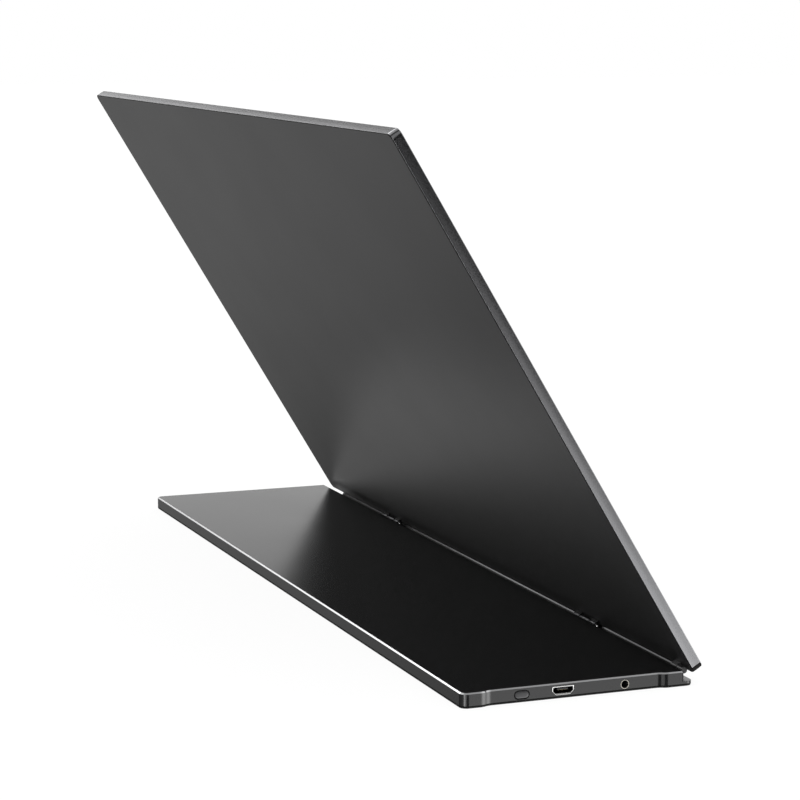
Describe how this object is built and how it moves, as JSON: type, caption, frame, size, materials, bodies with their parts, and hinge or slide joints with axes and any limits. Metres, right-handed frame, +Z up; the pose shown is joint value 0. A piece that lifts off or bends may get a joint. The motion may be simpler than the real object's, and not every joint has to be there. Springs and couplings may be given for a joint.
{
  "type": "portable monitor with folding foot",
  "caption": "Slim portable monitor whose screen panel tilts on friction hinges over a shallow flat foot, with a power button and sockets at the foot's end.",
  "frame": {"origin": "on the desk, under the middle of the whole object's box as it stands open", "axes": "+Z up, the screen faces -Y and leans back, the foot reaches back to +Y, the sockets are on the -X end"},
  "size_m": [0.357, 0.1112, 0.1855],
  "materials": {
    "foot_metal": "dark grey anodised, satin",
    "base_steel": "matt black painted steel",
    "sole_rubber": "matt black rubber sheet",
    "screw_steel": "plain zinc plated",
    "circuit_board": "green solder mask",
    "shield_metal": "tinned sheet",
    "switch_metal": "tinned sheet",
    "socket_metal": "bright nickel plate",
    "socket_plastic": "black moulding",
    "jack_ring_metal": "pale nickel over brass",
    "hinge_steel": "blackened steel",
    "pin_steel": "ground steel",
    "guide_plastic": "dark grey moulding",
    "cable_jacket": "black jacket",
    "button_plastic": "satin grey moulding",
    "panel_metal": "dark grey anodised, fine satin",
    "frame_plastic": "black moulding",
    "clear_acrylic": "clear acrylic sheet",
    "led_board": "white flexible board with lamps",
    "white_film": "milky film",
    "cell_glass": "dark liquid crystal cell",
    "adhesive_tape": "black foam tape",
    "front_glass": "black-backed cover glass",
    "strip_metal": "dark grey anodised, satin"
  },
  "bodies": {
    "foot": {"foot_housing": "foot_metal", "base_plate": "base_steel", "rubber_sole": "sole_rubber", "base_screws": "screw_steel", "main_board": "circuit_board", "board_screws": "screw_steel", "processor_shield": "shield_metal", "power_switch": "switch_metal", "usb_shell": "socket_metal", "usb_tongue": "socket_plastic", "jack_body": "socket_plastic", "jack_ring": "jack_ring_metal", "hinge_foot_leaf_left": "hinge_steel", "hinge_foot_leaf_right": "hinge_steel", "foot_leaf_screws": "screw_steel", "hinge_pin_left": "pin_steel", "hinge_pin_right": "pin_steel", "cable_guide": "guide_plastic", "cable_in_foot": "cable_jacket"},
    "panel": {"back_cover": "panel_metal", "middle_frame": "frame_plastic", "light_guide": "clear_acrylic", "led_strip": "led_board", "optical_films": "white_film", "lcd_cell": "cell_glass", "glass_adhesive": "adhesive_tape", "cover_glass": "front_glass", "timing_board": "circuit_board", "bottom_strip": "strip_metal", "hinge_panel_leaf_left": "hinge_steel", "hinge_panel_leaf_right": "hinge_steel", "panel_leaf_screws": "screw_steel", "cable_boot": "guide_plastic", "cable_in_panel": "cable_jacket"},
    "button": {"power_button": "button_plastic"}
  },
  "joints": [
    {"name": "screen_tilt", "type": "hinge", "parent": "foot", "child": "panel", "pos_m": [0, -0.05062, 0.00407], "axis": [1, 0, 0], "range_deg": [-59, 31]},
    {"name": "power_press", "type": "slide", "parent": "foot", "child": "button", "axis": [1, 0, 0], "range_m": [0, 0.0003], "stiffness_N_per_m": 2000, "springref_m": -0.0003}
  ]
}
